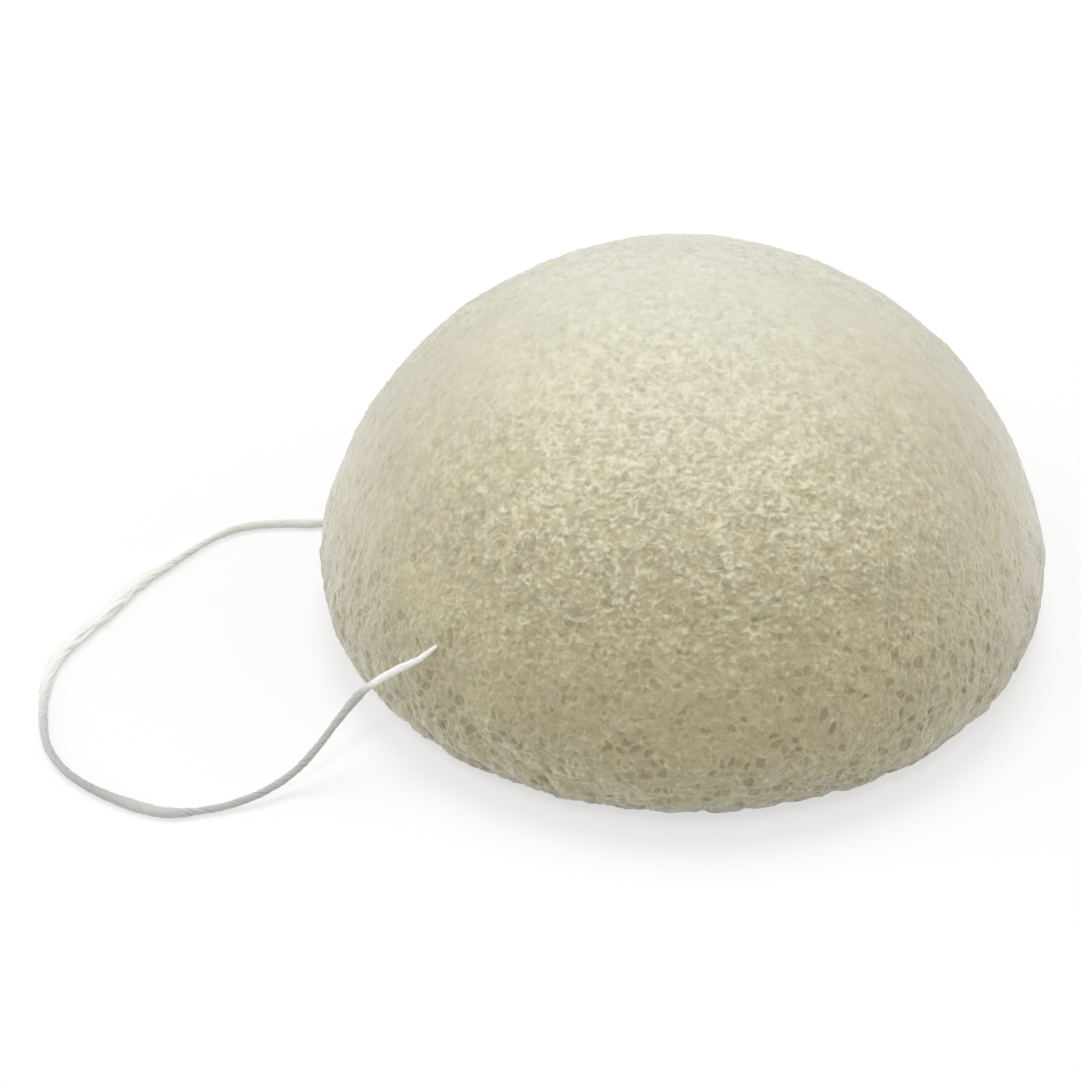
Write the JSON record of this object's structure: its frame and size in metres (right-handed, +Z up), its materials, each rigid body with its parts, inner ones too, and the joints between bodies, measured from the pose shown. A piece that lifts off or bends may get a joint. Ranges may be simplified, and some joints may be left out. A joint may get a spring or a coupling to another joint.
{
  "type": "konjac sponge",
  "caption": "Half-ball konjac sponge with a flat base and a loop of thin cotton string threaded through its side, for hanging it up to dry.",
  "frame": {"origin": "middle of the flat base, on the surface that the sponge stands on", "axes": "+Z up along the dome's axis of symmetry, the string comes out of the side towards -X, and the picture looks along +Y from above"},
  "size_m": [0.1095, 0.08, 0.04],
  "materials": {
    "konjac_foam": "matte open-cell foam",
    "cotton_string": "matte twisted cotton"
  },
  "bodies": {
    "sponge": {"sponge_body": "konjac_foam"},
    "string": {"string_loop": "cotton_string", "string_near_end": "cotton_string", "string_far_end": "cotton_string"}
  },
  "joints": [
    {"name": "loop_swing", "type": "hinge", "parent": "sponge", "child": "string", "pos_m": [-0.02522, -0.02801, 0.0155], "axis": [-0.2298, 0.9476, -0.2219], "range_deg": [0, 90]}
  ]
}
